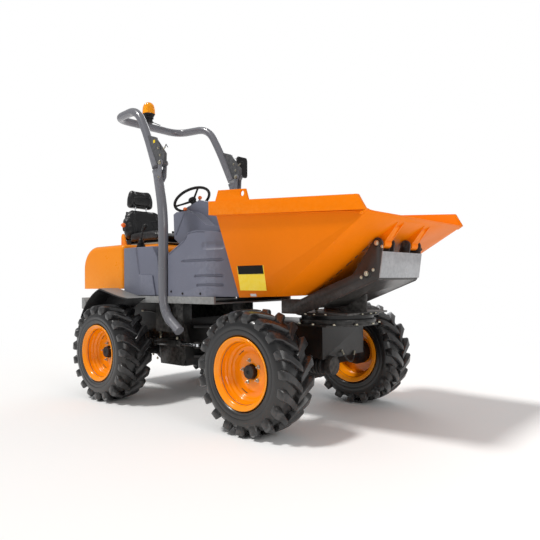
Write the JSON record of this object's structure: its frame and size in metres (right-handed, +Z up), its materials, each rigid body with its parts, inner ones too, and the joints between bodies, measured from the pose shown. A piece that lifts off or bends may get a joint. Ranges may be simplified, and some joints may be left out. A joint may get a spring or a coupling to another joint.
{
  "type": "articulated site dumper with swivel tip skip",
  "caption": "Articulated four-wheel site dumper: front skip on a turntable that swivels and tips, driver's seat on a tilting engine hood, folding roll bar with beacon",
  "frame": {"origin": "on the ground under the middle of the machine's overall length and width", "axes": "+X forward towards the skip's lip, +Y to the driver's left, +Z up"},
  "size_m": [3.175, 1.458, 2.61],
  "materials": {
    "orange_paint": "glossy",
    "grey_plastic": "satin",
    "grey_paint": "satin",
    "dark_paint": "satin",
    "black_paint": "satin",
    "light_paint": "semi-gloss",
    "tyre_rubber": "matte",
    "black_plastic": "satin",
    "black_leather": "satin",
    "amber_lens": "clear tinted",
    "steel": "bright",
    "cast_iron": "painted"
  },
  "bodies": {
    "rear_chassis": {"rear_frame": "black_paint", "rear_axle": "cast_iron", "engine_block": "cast_iron", "rear_bumper": "grey_paint", "side_tank_left": "grey_plastic", "side_tank_right": "grey_plastic", "rear_mudguard_left": "black_plastic", "rear_mudguard_right": "black_plastic", "floor_plate": "grey_paint", "front_console": "grey_plastic", "dashboard": "grey_plastic", "steering_column": "black_plastic", "control_lever": "black_plastic", "roll_bar_leg_left": "grey_paint", "roll_bar_leg_right": "grey_paint"},
    "hood": {"engine_hood": "orange_paint", "seat_base": "black_plastic", "seat_cushion": "black_leather", "seat_back": "black_leather", "headrest": "black_leather"},
    "roll_bar": {"roll_bar_hoop": "grey_paint", "beacon_base": "black_plastic", "beacon_lens": "amber_lens", "mirror": "black_plastic"},
    "steering_wheel": {"steering_wheel": "black_plastic"},
    "pivot": {"pivot_block": "cast_iron"},
    "front_chassis": {"front_frame": "black_paint", "front_axle": "cast_iron", "turntable_base": "black_paint"},
    "turntable": {"turntable_ring": "dark_paint", "skip_cradle": "dark_paint", "cradle_front_plate": "light_paint"},
    "skip": {"skip_tub": "orange_paint"},
    "tip_barrel": {"tip_cylinder_barrel": "black_paint"},
    "tip_rod": {"tip_cylinder_rod": "steel"},
    "steering_barrel": {"steering_cylinder_barrel": "black_paint"},
    "steering_rod": {"steering_cylinder_rod": "steel"},
    "wheel_front_left": {"wheel_rim_front_left": "orange_paint", "tyre_front_left": "tyre_rubber"},
    "wheel_front_right": {"wheel_rim_front_right": "orange_paint", "tyre_front_right": "tyre_rubber"},
    "wheel_rear_left": {"wheel_rim_rear_left": "orange_paint", "tyre_rear_left": "tyre_rubber"},
    "wheel_rear_right": {"wheel_rim_rear_right": "orange_paint", "tyre_rear_right": "tyre_rubber"}
  },
  "joints": [
    {"name": "articulation", "type": "hinge", "parent": "rear_chassis", "child": "pivot", "pos_m": [-0.1775, 0, 0.45], "axis": [0, 0, 1], "range_deg": [-28, 28]},
    {"name": "oscillation", "type": "hinge", "parent": "pivot", "child": "front_chassis", "pos_m": [-0.1775, 0, 0.45], "axis": [1, 0, 0], "range_deg": [-8, 8]},
    {"name": "skip_swivel", "type": "hinge", "parent": "front_chassis", "child": "turntable", "pos_m": [0.9725, 0, 0.682], "axis": [0, 0, -1], "range_deg": [-90, 90]},
    {"name": "skip_tip", "type": "hinge", "parent": "turntable", "child": "skip", "pos_m": [1.4305, 0, 1.144], "axis": [0, 1, 0], "range_deg": [0, 80]},
    {"name": "tip_cylinder_swing", "type": "hinge", "parent": "turntable", "child": "tip_barrel", "pos_m": [1.3585, 0, 0.967], "axis": [0, 1, 0], "range_deg": [0, 84]},
    {"name": "tip_cylinder_stroke", "type": "slide", "parent": "tip_barrel", "child": "tip_rod", "axis": [-0.945, 0, -0.327], "range_m": [0, 0.26]},
    {"name": "steering_cylinder_swing", "type": "hinge", "parent": "rear_chassis", "child": "steering_barrel", "pos_m": [-0.6475, -0.29, 0.45], "axis": [0, 0, 1], "range_deg": [-4, 4]},
    {"name": "steering_cylinder_stroke", "type": "slide", "parent": "steering_barrel", "child": "steering_rod", "axis": [1, 0, 0], "range_m": [-0.145, 0.145]},
    {"name": "roll_bar_fold", "type": "hinge", "parent": "rear_chassis", "child": "roll_bar", "pos_m": [-0.3595, 0, 1.861], "axis": [0, -1, 0], "range_deg": [-150, 0]},
    {"name": "hood_tilt", "type": "hinge", "parent": "rear_chassis", "child": "hood", "pos_m": [-1.4935, 0, 0.866], "axis": [0, -1, 0], "range_deg": [0, 50]},
    {"name": "steering_wheel_turn", "type": "hinge", "parent": "rear_chassis", "child": "steering_wheel", "pos_m": [-0.5045, 0, 1.635], "axis": [-0.5519, 0, 0.8339], "continuous": true},
    {"name": "wheel_front_left_spin", "type": "hinge", "parent": "front_chassis", "child": "wheel_front_left", "pos_m": [0.7625, 0.595, 0.38], "axis": [0, 1, 0], "continuous": true},
    {"name": "wheel_front_right_spin", "type": "hinge", "parent": "front_chassis", "child": "wheel_front_right", "pos_m": [0.7625, -0.595, 0.38], "axis": [0, 1, 0], "continuous": true},
    {"name": "wheel_rear_left_spin", "type": "hinge", "parent": "rear_chassis", "child": "wheel_rear_left", "pos_m": [-0.8175, 0.595, 0.38], "axis": [0, 1, 0], "continuous": true},
    {"name": "wheel_rear_right_spin", "type": "hinge", "parent": "rear_chassis", "child": "wheel_rear_right", "pos_m": [-0.8175, -0.595, 0.38], "axis": [0, 1, 0], "continuous": true}
  ],
  "couplings": [
    {"joint": "tip_cylinder_swing", "follows": "skip_tip", "ratio": 1.0047},
    {"joint": "tip_cylinder_stroke", "follows": "skip_tip", "m_per_rad": 0.17591},
    {"joint": "steering_cylinder_swing", "follows": "articulation", "ratio": 0.0992},
    {"joint": "steering_cylinder_stroke", "follows": "articulation", "m_per_rad": 0.282}
  ]
}
